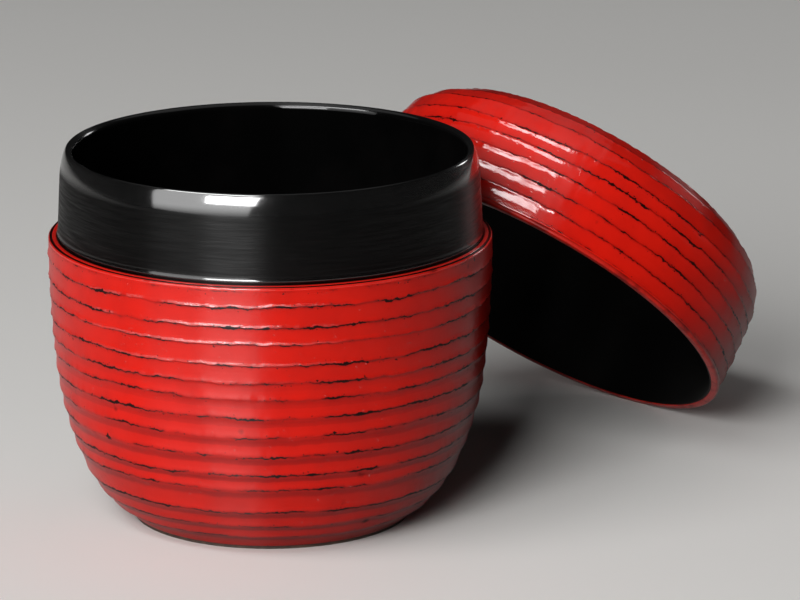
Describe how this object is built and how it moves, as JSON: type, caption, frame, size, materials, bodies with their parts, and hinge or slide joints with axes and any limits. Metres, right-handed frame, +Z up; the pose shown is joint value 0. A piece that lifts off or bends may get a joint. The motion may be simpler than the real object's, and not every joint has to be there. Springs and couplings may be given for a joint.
{
  "type": "lacquer tea caddy",
  "caption": "Round turned tea caddy in ridged red lacquer with a black lacquered neck and inside, and a loose slip-over lid that leans against the neck.",
  "frame": {"origin": "centre of the foot, on the surface that the caddy stands on", "axes": "+Z up along the axis of the body, +X from the body towards the leaning lid"},
  "size_m": [0.1305, 0.07, 0.0595],
  "materials": {
    "turned_wood": "turned wood, sealed with a thin dark lacquer where it shows at the foot",
    "lip_wood": "turned wood, thin red lacquer at the lip",
    "red_lacquer": "semi-gloss red lacquer in hand-worked ridges, black ground showing in the grooves",
    "black_lacquer": "polished black lacquer with fine turning lines"
  },
  "bodies": {
    "body": {"body_core": "turned_wood", "neck_ring": "turned_wood", "body_red_coat": "red_lacquer", "body_black_coat": "black_lacquer", "base_black_coat": "black_lacquer"},
    "lid": {"lid_core": "lip_wood", "lid_red_coat": "red_lacquer", "lid_black_coat": "black_lacquer"}
  },
  "joints": [
    {"name": "lid_lift", "type": "slide", "parent": "body", "child": "lid", "axis": [0, 0, 1], "range_m": [0, 0.065]}
  ]
}
